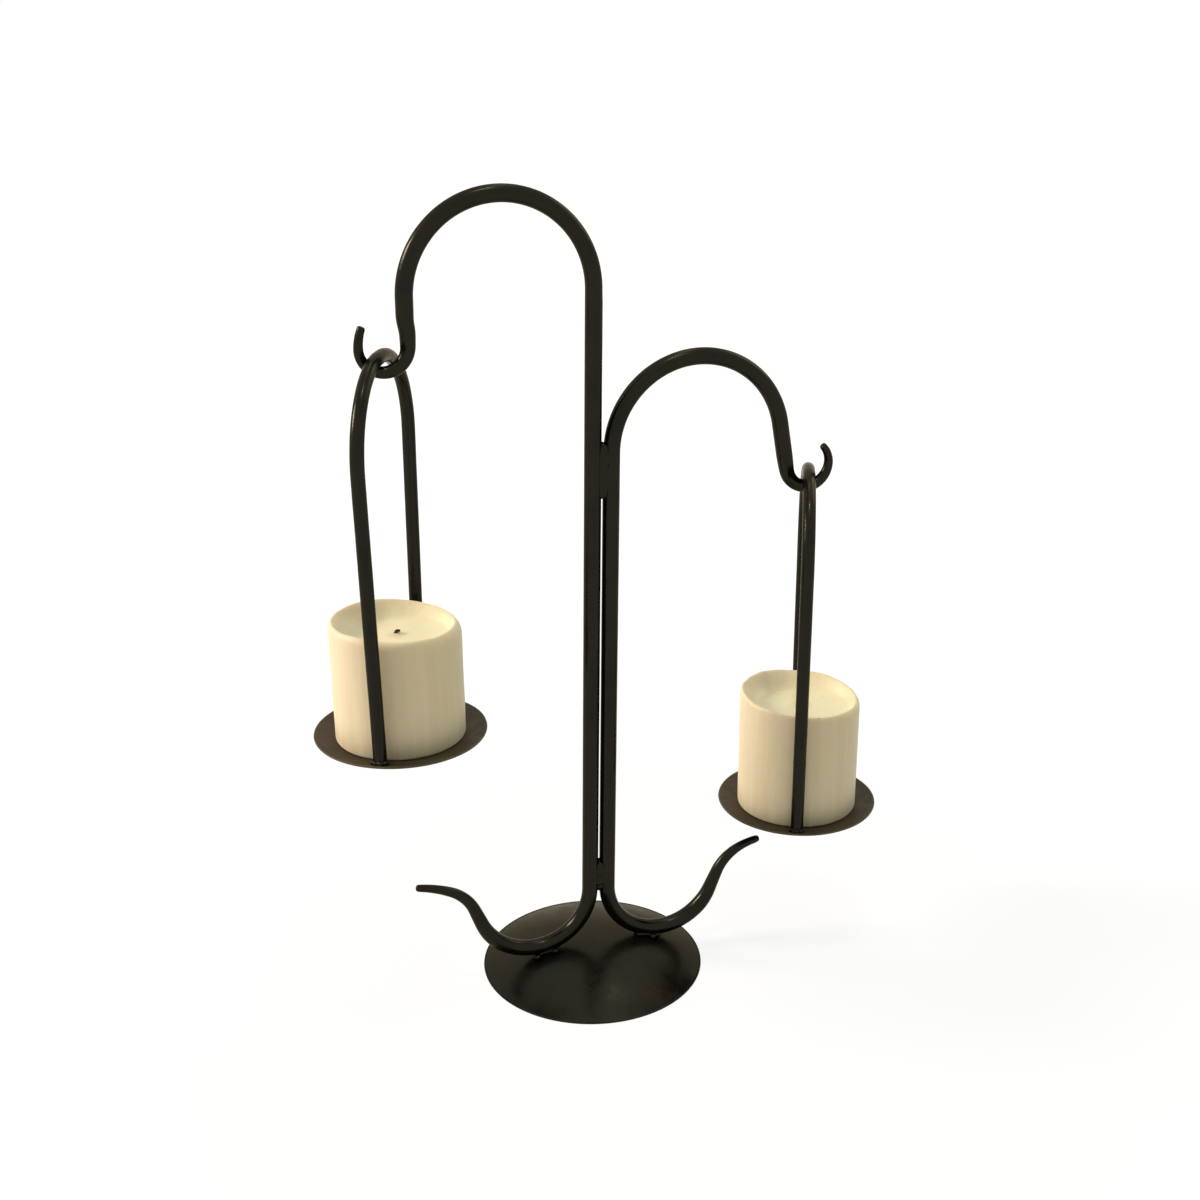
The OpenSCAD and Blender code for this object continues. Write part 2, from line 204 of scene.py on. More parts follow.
def wax_finish(name, side, pool_wax, pool_z, specks):
    """Old ivory wax: upright streaks and a greyer, darker foot outside, a glossier yellow pool and fine
    cracks inside, and dark specks, each given as its place and size."""
    n = Nodes(name)
    streak = n.noise(1, 5, 0.6, n.stretched((170, 170, 9)))
    cloud = n.noise(28, 4, 0.55)
    fine = n.noise(520, 4, 0.6)
    reach, z = n.reach()
    side_colour = n.mix(n.span(streak, 0.3, 0.72), side[0], side[1])
    side_colour = n.mix(n.span(cloud, 0.42, 0.75, 0.0, 0.55), side_colour, side[2])
    # Greyer and darker towards the foot, broken up by the streaks.
    foot_darkening = n.math("MULTIPLY", n.span(z, 20 * MM, 1 * MM, 0.0, 0.5), n.span(streak, 0.35, 0.65, 0.4, 1.0))
    side_colour = n.mix(foot_darkening, side_colour, side[3])
    inside = n.math("MULTIPLY", n.span(reach, 35.5 * MM, 33 * MM),
                    n.span(z, (pool_z - 5) * MM, (pool_z - 3) * MM))
    low = n.span(z, (pool_z + 7) * MM, (pool_z + 0.5) * MM)
    pool = n.math("MULTIPLY", inside, low)
    pool_colour = n.mix(n.span(n.noise(60, 3, 0.5), 0.35, 0.7), pool_wax[0], pool_wax[1])
    soot = n.span(n.math("ADD", reach, n.span(cloud, 0, 1, -2 * MM, 2 * MM)), 7 * MM, 1.4 * MM, 0.0, 0.4)
    pool_colour = n.mix(soot, pool_colour, pool_wax[2])
    colour = n.mix(pool, side_colour, pool_colour)
    ragged = n.noise(1, 3, 0.6, n.stretched((120, 120, 26)))
    crack = n.span(n.math("ABSOLUTE", n.math("SUBTRACT", ragged, 0.56)), 0.008, 0.001)
    crack = n.math("MULTIPLY", crack, n.math("MULTIPLY", inside, n.span(cloud, 0.44, 0.54)))
    colour = n.mix(n.math("MULTIPLY", crack, 0.45), colour, pool_wax[2])
    dust = n.math("ADD", n.cells(330), n.span(cloud, 0.35, 0.65, 0.22, 0.0))
    colour = n.mix(n.span(dust, 0.075, 0.045, 0.0, 0.35), colour, pool_wax[2])
    for place, size in specks:
        apart = n.add("ShaderNodeVectorMath", operation="DISTANCE")
        n.feed(apart.inputs[0], n.place)
        apart.inputs[1].default_value = [v * MM for v in place]
        ragged_edge = n.span(fine, 0.3, 0.7, 0.0, size * 0.5 * MM)
        spot = n.span(n.math("ADD", apart.outputs["Value"], ragged_edge),
                      size * MM, size * 0.4 * MM, 0.0, 0.85)
        colour = n.mix(spot, colour, SPECK)
    skin = n.span(n.noise(90, 5, 0.6), 0.3, 0.7, 0.42, 0.6)
    roughness = n.math("SUBTRACT", skin, n.math("MULTIPLY", pool, 0.16))
    ripple = n.bump(n.math("SUBTRACT", streak, n.math("MULTIPLY", crack, 0.5)), 0.2, 0.5)
    normal = n.bump(fine, 0.12, 0.15, ripple)
    return n.finish(colour, roughness, normal, 0.4, Subsurface_Weight=0.35,
                    Subsurface_Radius=(1.0, 0.55, 0.28), Subsurface_Scale=0.006)


def wick_finish():
    """Cotton cord, soaked with wax and charred brown."""
    n = Nodes("burnt_wick")
    char = n.noise(900, 5, 0.65)
    colour = n.ramp(char, [(0.35, (0.02, 0.017, 0.01)), (0.6, (0.05, 0.042, 0.024)),
                           (0.8, (0.1, 0.08, 0.045))])
    normal = n.bump(char, 0.5, 0.25)
    return n.finish(colour, 0.85, normal, 0.15)


BLACK, BROWN, RUST = (0.0150, 0.0150, 0.0110), (0.0205, 0.0185, 0.0130), (0.0340, 0.0235, 0.0150)
IRON = iron_finish("blackened_iron", BLACK, BROWN, RUST)
WELD = iron_finish("weld_iron", BLACK, BROWN, RUST, (0.2, 0.34), 0.12)
DOME = iron_finish("pressed_iron", (0.0160, 0.0162, 0.0120), (0.0215, 0.0200, 0.0145),
                   (0.0340, 0.0240, 0.0160), (0.22, 0.38), 0.06, grain=0.6)
# The pan's rim gets a painted highlight, a lighter band at 49.2 mm.
PAN = iron_finish("pan_iron", (0.041, 0.030, 0.0165), (0.062, 0.045, 0.026), (0.080, 0.050, 0.028),
                  (0.5, 0.7), 0.2, 0.2, 0.8, metal=0.0, rim=(49.2, (0.15, 0.125, 0.088)))
# Wax outside: plain, streaks, clouds, and the grey that darkens towards the foot. Inside: two shades of
# the pool, and soot
WAX_SIDE = ((0.88, 0.765, 0.545), (0.79, 0.68, 0.45), (0.86, 0.72, 0.53), (0.60, 0.55, 0.40))
WAX_POOL = ((0.90, 0.82, 0.57), (0.87, 0.77, 0.50), (0.50, 0.40, 0.24))
SPECK = (0.05, 0.055, 0.02)
# Places in millimetres from the middle of the candle's foot, and sizes
SPECKS = {"left": [], "right": [((-4, -35.6, 74), 1.4), ((8, -21.6, 67.5), 1.0)]}
WICK = wick_finish()


# ---------------------------------------------------------------- mesh helpers
def mesh_piece(name, verts, faces, body, slot, finish, nodes, origin=(0, 0, 0)):
    """A closed mesh as one named piece that rides its body and stands for its CAD nodes."""
    name += "_look"
    origin = Vector(origin)
    mesh = bpy.data.meshes.new(name)
    mesh.from_pydata([(Vector(v) - origin) * MM for v in verts], [], faces)
    mesh.validate()
    work = bmesh.new()
    work.from_mesh(mesh)
    bmesh.ops.recalc_face_normals(work, faces=work.faces)
    work.to_mesh(mesh)
    work.free()
    mesh.shade_smooth()
    mesh.materials.append(finish)
    piece = bpy.data.objects.new(name, mesh)
    piece.location = origin * MM
    bpy.context.scene.collection.objects.link(piece)
    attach(piece, body)
    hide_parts(*nodes)
    return piece


def rings_to_mesh(rings):
    """Quads between rings of the same count, with a fan over each end."""
    count = len(rings[0])
    verts = [p for ring in rings for p in ring]
    faces = []
    for k in range(len(rings) - 1):
        a, b = k * count, (k + 1) * count
        for i in range(count):
            j = (i + 1) % count
            faces.append((a + i, a + j, b + j, b + i))
    for ring, start in ((rings[0], 0), (rings[-1], (len(rings) - 1) * count)):
        hub = len(verts)
        verts.append(sum((Vector(p) for p in ring), Vector()) / count)
        faces += [(start + i, start + (i + 1) % count, hub) for i in range(count)]
    return verts, faces


def walk(x, z, heading, runs, step=1.4):
    """Points and headings along runs of (length, turn in degrees) in one plane."""
    heading = math.radians(heading)
    out = [(x, z, heading)]
    for length, turn in runs:
        count = max(2, math.ceil(length / step))
        bend = math.radians(turn) / count
        chord = length / count
        if abs(bend) > 1e-9:
            chord *= math.sin(bend / 2) / (bend / 2)
        for _ in range(count):
            heading += bend / 2
            x += chord * math.cos(heading)
            z += chord * math.sin(heading)
            heading += bend / 2
            out.append((x, z, heading))
    return out


def arc(radius, turn):
    """A run for walk() that bends by `turn` degrees."""
    return (radius * math.radians(abs(turn)), turn)


def backwards(path):
    return [(x, z, heading + math.pi) for x, z, heading in reversed(path)]


def joined(*paths):
    out = list(paths[0])
    for path in paths[1:]:
        out += path[1:]
    return out


def smooth(t):
    t = min(1, max(0, t))
    return t * t * (3 - 2 * t)


def forged(seed, depth, length=14.0):
    """Shallow hammer marks: how far the skin lies under the nominal round at a place on a rod."""
    rng = np.random.default_rng(seed)
    shift = Vector(rng.uniform(-50, 50, 3))

    def mark(s, phi, total):
        at = Vector((s / length, 0.9 * math.cos(phi), 0.9 * math.sin(phi))) + shift
        return depth(s, total) * (0.5 + 0.5 * noise.noise(at) + 0.35 * abs(noise.noise(at * 2.7)))

    return mark


END_RINGS = 6


def rod_rings(centres, tangents, across, radius, mark, sides=32, ends=(0, 0), blunt=0.55):
    """Rings along a rod that lies in one plane, whose normal is `across`. ends are the lengths over which
    its ends are rounded over, and blunt is the share of the radius that is left there."""
    across = Vector(across)
    lengths = [0.0]
    for a, b in zip(centres, centres[1:]):
        lengths.append(lengths[-1] + (b - a).length)
    total = lengths[-1]
    rings = []
    for centre, tangent, s in zip(centres, tangents, lengths):
        side = tangent.cross(across).normalized()
        ring = []
        for i in range(sides):
            phi = 2 * math.pi * i / sides
            r = radius(s, total) - mark(s, phi, total)
            ring.append(centre + side * (r * math.cos(phi)) + across * (r * math.sin(phi)))
        rings.append(ring)
    for end, first in ((ends[0], True), (ends[1], False)):
        if not end:
            continue
        base, tangent = (rings[0], -tangents[0]) if first else (rings[-1], tangents[-1])
        centre = centres[0] if first else centres[-1]
        extra = []
        for k in range(1, END_RINGS + 1):
            t = k / END_RINGS
            shrink = blunt + (1 - blunt) * math.sqrt(1 - t * t)
            shift = tangent * (end * (t - 1))
            extra.append([centre + (Vector(p) - centre) * shrink + shift for p in base])
        keep = [ring for ring, s in zip(rings, lengths)
                if (s > end if first else s < total - end)]
        lengths = [s for s in lengths if (s > end if first else s < total - end)]
        rings = list(reversed(extra)) + keep if first else keep + extra
        lengths = [0.0] * END_RINGS + lengths if first else lengths + [total] * END_RINGS
    return rings


def in_plane(path, lift, spin):
    """Centres and tangents in space of a planar path."""
    centres = [lift(x, z) for x, z, _ in path]
    tangents = [spin(math.cos(h), math.sin(h)) for _, _, h in path]
    return centres, tangents


def blob_mesh(blobs, seed, rough=0.12):
    """Overlapping uneven drops as one set of closed shells, fused later by a voxel remesh."""
    rng = np.random.default_rng(seed)
    work = bmesh.new()
    for centre, radii, turn in blobs:
        drop = bmesh.ops.create_icosphere(work, subdivisions=3, radius=1.0)["verts"]
        shift = Vector(rng.uniform(-20, 20, 3))
        for v in drop:
            swell = 1 + rough * noise.noise(v.co * 1.6 + shift)
            at = Vector((v.co.x * radii[0], v.co.y * radii[1], v.co.z * radii[2])) * swell
            v.co = Vector(centre) + turn @ at
    work.verts.index_update()
    verts = [v.co.copy() for v in work.verts]
    faces = [tuple(v.index for v in f.verts) for f in work.faces]
    work.free()
    return verts, faces


def fuse(piece, voxel=0.42, passes=5):
    """Melts the drops of a weld into one skin."""
    melt = piece.modifiers.new("melt", "REMESH")
    melt.mode = "VOXEL"
    melt.voxel_size = voxel * MM
    melt.use_smooth_shade = True
    even = piece.modifiers.new("even", "SMOOTH")
    even.factor = 0.5
    even.iterations = passes
    return piece


# ---------------------------------------------------------------- crooks
LEAN = math.radians(1)
DOME_Z = -151.2
DOME_R, DOME_T = 166.2, 1.6
ROD_R, STEM_GAP, STEM_SHIFT = 4.9, 1.5, 1.0
TAIL_R, TAIL_BEND, ROOT_GAP = 36.0, 157, 0.4
TIP_R = 2.3
TAIL_REACH = DOME_R + ROOT_GAP + TAIL_R + ROD_R


def leaned(x, y, z):
    """The arms lean to the right as one piece, about the middle of the base's sphere."""
    up = z - DOME_Z
    return Vector((x * math.cos(LEAN) + up * math.sin(LEAN), y,
                   DOME_Z - x * math.sin(LEAN) + up * math.cos(LEAN)))


def stem_x(side):
    return ROD_R + STEM_GAP / 2 + side * STEM_SHIFT


def tail_z(side):
    """Height of the centre of a tail's lowest bend, which lies on the base."""
    return DOME_Z + math.sqrt(TAIL_REACH ** 2 - (stem_x(side) + TAIL_R) ** 2)


def crook(name, side, arch_z, arm_runs, tail_end_r, hook_taper, seed):
    """One rod from its tail up the stem and over the arch into its hook. side is -1 for the left arm."""
    tail_end = [(12.5, 0), arc(30, -43), arc(tail_end_r, -16)]
    tail_taper = 12 + sum(length for length, _ in tail_end)
    tail = walk(stem_x(side), tail_z(side), -90, [arc(TAIL_R, TAIL_BEND)] + tail_end)
    arm = walk(stem_x(side), tail_z(side), 90, [(arch_z - tail_z(side), 0)] + arm_runs)
    path = joined(backwards(tail), arm)

    def lift(x, z):
        return leaned(side * x, 0, z)

    def spin(cx, cz):
        return (leaned(side * cx, 0, cz + DOME_Z) - Vector((0, 0, DOME_Z))).normalized()

    centres, tangents = in_plane(path, lift, spin)

    def radius(s, total):
        at_tail = TIP_R + (ROD_R - TIP_R) * min(1, s / tail_taper)
        at_hook = TIP_R + (ROD_R - TIP_R) * min(1, (total - s) / hook_taper)
        return min(ROD_R, at_tail, at_hook)

    def depth(s, total):
        worked = max(smooth(1.3 - s / (1.2 * tail_taper)),
                     smooth(1.3 - (total - s) / (1.2 * hook_taper)))
        return 0.05 + 0.17 * worked

    hammered = forged(seed, depth)
    stem_from = sum(length for length, _ in tail_end) + TAIL_R * math.radians(TAIL_BEND)
    stem_to = stem_from + arch_z - tail_z(side)

    def mark(s, phi, total):
        """The stems are drawn a little towards each other where they stand side by side."""
        on_stem = smooth((s - stem_from) / 8) * smooth((stem_to - s) / 8)
        return hammered(s, phi, total) - 0.2 * on_stem * max(0, side * math.cos(phi)) ** 2

    rings = rod_rings(centres, tangents, (0, 1, 0), radius, mark, ends=(2.1, 1.2), blunt=0.45)
    return mesh_piece(name, *rings_to_mesh(rings), "stand", "iron", IRON, [name])


ARCH_R = 52.1
NECK_STEP, NECK_STEP_H = 1.2, 12
NECK_TURN = math.degrees(2 * math.atan(NECK_STEP / NECK_STEP_H))
NECK_R = NECK_STEP_H / (2 * math.sin(math.radians(NECK_TURN)))
# Arch, neck, hook and the hook's tip
TALL_ARM = [arc(ARCH_R, -180), (9, 0), arc(NECK_R, -NECK_TURN), arc(NECK_R, NECK_TURN), (4.7, 0),
            arc(13.2, 180), (12, 23)]
SHORT_ARM = [arc(ARCH_R, -169), (29, 0), arc(13.7, 79), arc(13.7, 140)]
crook("tall_crook", -1, 424, TALL_ARM, 76, 70, 11)
crook("short_crook", 1, 332, SHORT_ARM, 49, 61, 23)


# ---------------------------------------------------------------- base
def revolve(profile, sides, warp):
    """Rings of a turned profile of (radius, height). warp moves a point of it at an angle."""
    rings = []
    for r, z in profile:
        ring = []
        for i in range(sides):
            phi = 2 * math.pi * i / sides
            rr, zz = warp(r, z, phi)
            ring.append(Vector((rr * math.cos(phi), rr * math.sin(phi), zz)))
        rings.append(ring)
    return rings


def base_dome():
    """Pressed sheet, open underneath, with a softly rolled edge and shallow dents."""
    outer = [(r, DOME_Z + math.sqrt(DOME_R ** 2 - r * r)) for r in np.linspace(0.4, 68.4, 60)]
    edge = [(68.85, 0.45), (68.9, 0.2), (68.7, 0.03), (68.2, 0.0), (67.4, 0.0)]
    inner_r = DOME_R - DOME_T
    inner = [(r, DOME_Z + math.sqrt(inner_r ** 2 - r * r)) for r in np.linspace(64.9, 0.4, 30)]

    def warp(r, z, phi):
        at = Vector((r * math.cos(phi) / 26, r * math.sin(phi) / 26, 3.1))
        dent = 0.55 * (0.5 + 0.5 * noise.noise(at)) * min(1, max(0, (66 - r) / 20))
        return r, z - dent

    rings = revolve(outer + edge + inner, 144, warp)
    return mesh_piece("base_dome", *rings_to_mesh(rings), "stand", "dome", DOME, ["base_dome"])


base_dome()


# ---------------------------------------------------------------- welds on the stand
def stem_weld(name, z0, z1, nubs, seed):
    """Weld that fills the grooves between the stems nearly flush. nubs are small drops of (x, z) on its
    front."""
    rng = np.random.default_rng(seed)
    turn = Matrix.Rotation(LEAN, 3, "Y")
    blobs = []
    count = round((z1 - z0) / 3.2)
    for y in (-1, 1):
        for k in range(count):
            jitter = rng.uniform(-1, 1, 3)
            end = min(k, count - 1 - k)
            z = z0 + 3.0 + (z1 - z0 - 6.0) * k / (count - 1)
            width = (3.0, 3.8, 4.2)[min(end, 2)] + 0.12 * jitter[0]
            place = leaned(STEM_SHIFT + 0.15 * jitter[1], y * (2.6 + 0.08 * jitter[2]), z)
            blobs.append((place, (width, 1.75, 3.3), turn))
    middle = 0.5 * (z0 + z1)
    blobs.append((leaned(STEM_SHIFT, 0, middle), (2.4, 2.2, middle - z0), turn))
    blobs += [(leaned(STEM_SHIFT + x, -4.1, z), (0.9, 0.6, 0.8), turn) for x, z in nubs]
    piece = mesh_piece(name, *blob_mesh(blobs, seed + 1, 0.06), "stand", "weld", WELD, [name])
    return fuse(piece, 0.42, 8)


stem_weld("upper_stem_weld", 306, 338, [(1.6, 326)], 31)
stem_weld("lower_stem_weld", 51, 71, [], 37)


def tail_weld(name, side, bumps, seed):
    """Weld along both sides of a tail where it lies on the base. bumps are larger drops at its front, as
    places along the tail."""
    rng = np.random.default_rng(seed)
    touch = math.acos((stem_x(side) + TAIL_R) / TAIL_REACH)
    slope = math.pi / 2 - touch
    touch_x = (DOME_R + ROOT_GAP / 2) * math.cos(touch)
    touch_z = DOME_Z + (DOME_R + ROOT_GAP / 2) * math.sin(touch)
    turn = Matrix.Rotation(LEAN + side * slope, 3, "Y")

    def beside(along, y, up):
        x = touch_x + along * math.cos(slope)
        return leaned(side * x, y, touch_z - along * math.sin(slope) + up)

    blobs = []
    for y in (-1, 1):
        for along in np.linspace(-6.4, 6.4, 6 if y < 0 else 5):
            jitter = rng.uniform(-1, 1, 4)
            place = beside(along + 0.4 * jitter[0], y * (2.7 + 0.25 * jitter[1]), 1.2 + 0.25 * jitter[2])
            blobs.append((place, (2.1, 1.7, 1.7 + 0.2 * jitter[3]), turn))
    blobs += [(beside(along, -4.6, 0.9), (2.0, 1.8, 1.9), turn) for along in bumps]
    blobs.append((beside(0, 0, 1.2), (7.2, 2.9, 1.5), turn))
    piece = mesh_piece(name, *blob_mesh(blobs, seed + 1, 0.14), "stand", "weld", WELD, [name])
    return fuse(piece)


tail_weld("left_tail_weld", -1, (7.6, -4.2), 41)
tail_weld("right_tail_weld", 1, (2.2,), 43)


# ---------------------------------------------------------------- hangers
BAIL_R, BAIL_FLAT, LEG_LEAN, LEG_L, BAIL_DROP = 49.0, 2.0, 2.4407, 165.683, 218.0
BAIL_ROD_R = 3.9
# The swing axis, the bail's turn and the candle's height
SIDES = {"left": ((-113.788, 0, 395.327), 26, 72), "right": ((138.219, 0, 308.081), 24, 78)}
PAN_FLAT, PAN_R, PAN_RISE, PAN_T = 38.7, 50.0, 3.0, 1.5
FOOT_Y = 43.9


def hung(side):
    """A call that takes a place from a hanger's own frame, whose origin is on its swing axis, to the
    stand's frame, and the turn in it."""
    place, turn, _ = SIDES[side]
    spin = Matrix.Rotation(math.radians(-turn), 3, "Z")
    return lambda p: spin @ Vector(p) + Vector(place), spin


def bail(side, seed):
    """The hanger's rod: from the front foot up, over the hook and down to the rear foot."""
    half = walk(0, 0, 0, [(BAIL_FLAT, 0), arc(BAIL_R, -90 - LEG_LEAN), (LEG_L + 0.6, 0)])
    mirrored = [(-x, z, math.pi - h) for x, z, h in half]
    path = joined(backwards(mirrored), half)
    put, spin = hung(side)
    centres = [put((0, y, z)) for y, z, _ in path]
    tangents = [(spin @ Vector((0, math.cos(h), math.sin(h)))).normalized() for _, _, h in path]

    rings = rod_rings(centres, tangents, spin @ Vector((1, 0, 0)), lambda s, total: BAIL_ROD_R,
                      forged(seed, lambda s, total: 0.1, 18), ends=(0, 0))
    name = f"{side}_bail"
    return mesh_piece(name, *rings_to_mesh(rings), f"{side}_hanger", "iron", IRON, [name])


def pan(side, seed):
    """A shallow sheet pan with a flared rim that isn't quite even."""
    rng = np.random.default_rng(seed)
    shift = Vector(rng.uniform(-20, 20, 3))
    flare = PAN_RISE / (PAN_R - PAN_FLAT)

    def upper(r):
        soft = 2.2
        t = (r - PAN_FLAT) / soft
        ease = 0 if t < -1 else (t if t > 1 else (t + 1) ** 2 / 4)
        return flare * soft * ease

    radii = np.concatenate((np.linspace(0.4, 34, 14), np.linspace(35.5, 49.3, 16)))
    top = [(r, upper(r)) for r in radii]
    lip = [(49.75, PAN_RISE - 0.25), (49.9, PAN_RISE - 0.7), (49.75, PAN_RISE - 1.15)]
    under = [(r, z - PAN_T) for r, z in reversed(top)]

    def warp(r, z, phi):
        at = Vector((1.5 * math.cos(phi), 1.5 * math.sin(phi), 0)) + shift
        outer = max(0, (r - 41) / 9)
        return (r - 0.35 * outer * (0.5 + 0.5 * noise.noise(at * 1.4)),
                z - 0.5 * outer * (0.5 + 0.5 * noise.noise(at)))

    put, _ = hung(side)
    seat = Vector((0, 0, -BAIL_DROP))
    rings = [[put(p + seat) for p in ring] for ring in revolve(top + lip + under, 144, warp)]
    name = f"{side}_pan"
    return mesh_piece(name, *rings_to_mesh(rings), f"{side}_hanger", "pan", PAN, [name], put(seat))


def foot_weld(side, end, seed):
    """A ring of weld drops round the foot of a leg on the pan's flare."""
    rng = np.random.default_rng(seed)
    put, spin = hung(side)
    way = -1 if end == "front" else 1
    blobs = []
    for k in range(9):
        phi = 2 * math.pi * (k + rng.uniform(-0.2, 0.2)) / 9
        r = 3.65 + rng.uniform(-0.2, 0.3)
        x, y = r * math.cos(phi), way * FOOT_Y + r * math.sin(phi)
        rise = PAN_RISE * (math.hypot(x, y) - PAN_FLAT) / (PAN_R - PAN_FLAT)
        z = -BAIL_DROP + max(0, rise) + 0.75 + rng.uniform(0, 0.5)
        size = rng.uniform(1.45, 1.8)
        blobs.append((put((x, y, z)), (size, size, size * rng.uniform(0.9, 1.35)), spin))
    name = f"{side}_{end}_weld"
    piece = mesh_piece(name, *blob_mesh(blobs, seed + 1, 0.2), f"{side}_hanger", "weld", WELD, [name])
    return fuse(piece, 0.36, 4)


# ---------------------------------------------------------------- candles
CANDLE_R, POOL_DEPTH = 37.5, 11.0
RIM_SLOPE = math.tan(math.radians(4))
SEAT = 0.2
FOOT_ROUND = 1.2
RIM_TURN = 17.87
# How each rim has burnt: values to the right, rear, left and front as the photograph sees it
RIMS = {
    "left": {"crest": (33.2, 35.6, 35.2, 33.8), "round": (6.5, 2.6, 4.2, 4.6),
             "pool": (30, 22.5, 24, 27), "dip": (0.6, 0.2, 0.4, 0.0)},
    "right": {"crest": (34.4, 35.8, 35.8, 35.6), "round": (4.2, 2.4, 2.6, 2.4),
              "pool": (30, 22.5, 26.5, 28), "dip": (0.4, -1.0, 0.2, 1.4)},
}


def pillar(side):
    """Where a candle's foot stands, its height, and the height of its pool over the foot."""
    place, _, height = SIDES[side]
    return Vector((place[0], 0, place[2] - BAIL_DROP + SEAT)), height, height - POOL_DEPTH


def around(values, phi):
    """An even curve through values to the right, rear, left and front of the camera's view."""
    right, rear, left, front = values
    t = phi + math.radians(RIM_TURN)
    return ((right + rear + left + front) / 4 + (right - left) / 2 * math.cos(t)
            + (rear - front) / 2 * math.sin(t) + (right + left - rear - front) / 4 * math.cos(2 * t))


def candle(side, seed):
    """A part-burnt pillar: uneven side, a melted rim that falls to the right, and a level pool."""
    foot, height, pool_z = pillar(side)
    rng = np.random.default_rng(seed)
    shift = Vector(rng.uniform(-30, 30, 3))
    rim = RIMS[side]

    def wave(phi, size, layer=0.0):
        return noise.noise(Vector((size * math.cos(phi), size * math.sin(phi), layer)) + shift)

    sides = 180
    columns = []
    for i in range(sides):
        phi = 2 * math.pi * i / sides
        c, s = math.cos(phi), math.sin(phi)
        crest_r = around(rim["crest"], phi) + 0.5 * wave(phi, 1.6) + 0.15 * wave(phi, 6, 3)
        crest_z = height - 0.3 - RIM_SLOPE * (CANDLE_R + crest_r * c) - around(rim["dip"], phi)
        crest_z = min(crest_z + 0.9 * wave(phi, 1.7, 5) + 0.25 * wave(phi, 5, 7), height - 0.05)
        pool_r = around(rim["pool"], phi) + 1.2 * wave(phi, 1.5, 9) + 0.4 * wave(phi, 4.5, 11)
        round_h = around(rim["round"], phi) + 0.5 * wave(phi, 1.2, 13)

        def wall(z):
            lump = 0.26 * (0.5 + 0.5 * noise.noise(Vector((2.2 * c, 2.2 * s, z / 16)) + shift))
            lump += 0.07 * abs(noise.noise(Vector((7 * c, 7 * s, z / 40)) + shift))
            return CANDLE_R - 0.05 - lump

        profile = [(0.5, 0.0), (18, 0.0), (33, 0.0)]
        profile += [(wall(FOOT_ROUND) - FOOT_ROUND + FOOT_ROUND * math.sin(a),
                     FOOT_ROUND - FOOT_ROUND * math.cos(a))
                    for a in np.linspace(0.1, math.pi / 2, 6)]
        top = crest_z - round_h
        profile += [(wall(z), z) for z in np.linspace(2.8, top, 28)]
        edge = wall(top)
        for a in np.linspace(0, math.pi / 2, 11)[1:]:
            profile.append((crest_r + (edge - crest_r) * math.cos(a), top + round_h * math.sin(a)))
        for t in np.linspace(0, 1, 17)[1:]:
            drop = smooth(t) * 0.6 + t * 0.4
            flute = 0.22 * wave(phi, 9, 17) * math.sin(math.pi * t)
            profile.append((crest_r + (pool_r - crest_r) * t + flute,
                            crest_z + (pool_z - crest_z) * drop))
        for t in np.linspace(0, 1, 9)[1:]:
            r = pool_r * (1 - t) + 0.5 * t
            lift = 0.9 * math.exp(-((r - 1.0) / 1.6) ** 2) - 0.35 * smooth(1 - abs(r - 12) / 12)
            profile.append((r, pool_z + lift))
        columns.append([foot + Vector((r * c, r * s, z)) for r, z in profile])
    rings = [list(ring) for ring in zip(*columns)]
    finish = wax_finish(f"{side}_wax", WAX_SIDE, WAX_POOL, pool_z, SPECKS[side])
    name = f"{side}_candle"
    return mesh_piece(name, *rings_to_mesh(rings), f"{side}_pillar", "wax", finish, [name], foot)


def wick(side, seed):
    """Twisted cotton whose burnt end lies over to the right."""
    foot, _, pool_z = pillar(side)
    path = walk(0, pool_z - 4, 90, [(4.3, 0), arc(1.3, -84), (1.7, 0)], 0.35)
    centres = [foot + Vector((x, 0, z)) for x, z, _ in path]
    tangents = [Vector((math.cos(h), 0, math.sin(h))) for _, _, h in path]

    def strands(s, phi, total):
        return 0.16 * (1 + math.cos(3 * phi + 2.4 * s)) + 0.1 * abs(noise.noise(Vector((s, phi, seed))))

    def radius(s, total):
        return 1.05 - 0.2 * smooth((s - total + 2.5) / 2.5)

    rings = rod_rings(centres, tangents, (0, 1, 0), radius, strands, 30, (0, 0.5), 0.4)
    name = f"{side}_wick"
    return mesh_piece(name, *rings_to_mesh(rings), f"{side}_pillar", "wick", WICK, [name])


for index, hanger in enumerate(("left", "right")):
    bail(hanger, 51 + index)
    pan(hanger, 61 + index)
    foot_weld(hanger, "front", 71 + index)
    foot_weld(hanger, "rear", 81 + index)
    candle(hanger, 91 + index)
    wick(hanger, 3 + index)


# ---------------------------------------------------------------- studio
# Name, place and size in metres, level at the stand, and colour
LAMPS = (
    ("left_lamp", (-2.76, 0.92, 1.7), 0.9, 0.92, (1.0, 0.85, 0.73)),
    ("top_lamp", (0.05, -0.3, 1.9), 0.25, 0.13, (0.94, 1.0, 0.88)),
    ("rear_lamp", (0.35, 0.6, 1.8), 0.4, 0.055, (1.0, 1.0, 0.9)),
    ("right_lamp", (1.15, 0.35, 1.0), 0.8, 0.16, (0.96, 1.0, 0.86)),
)
LAMP_AIM = (0, 0, 0.2)
FLOOR_REACH = 12


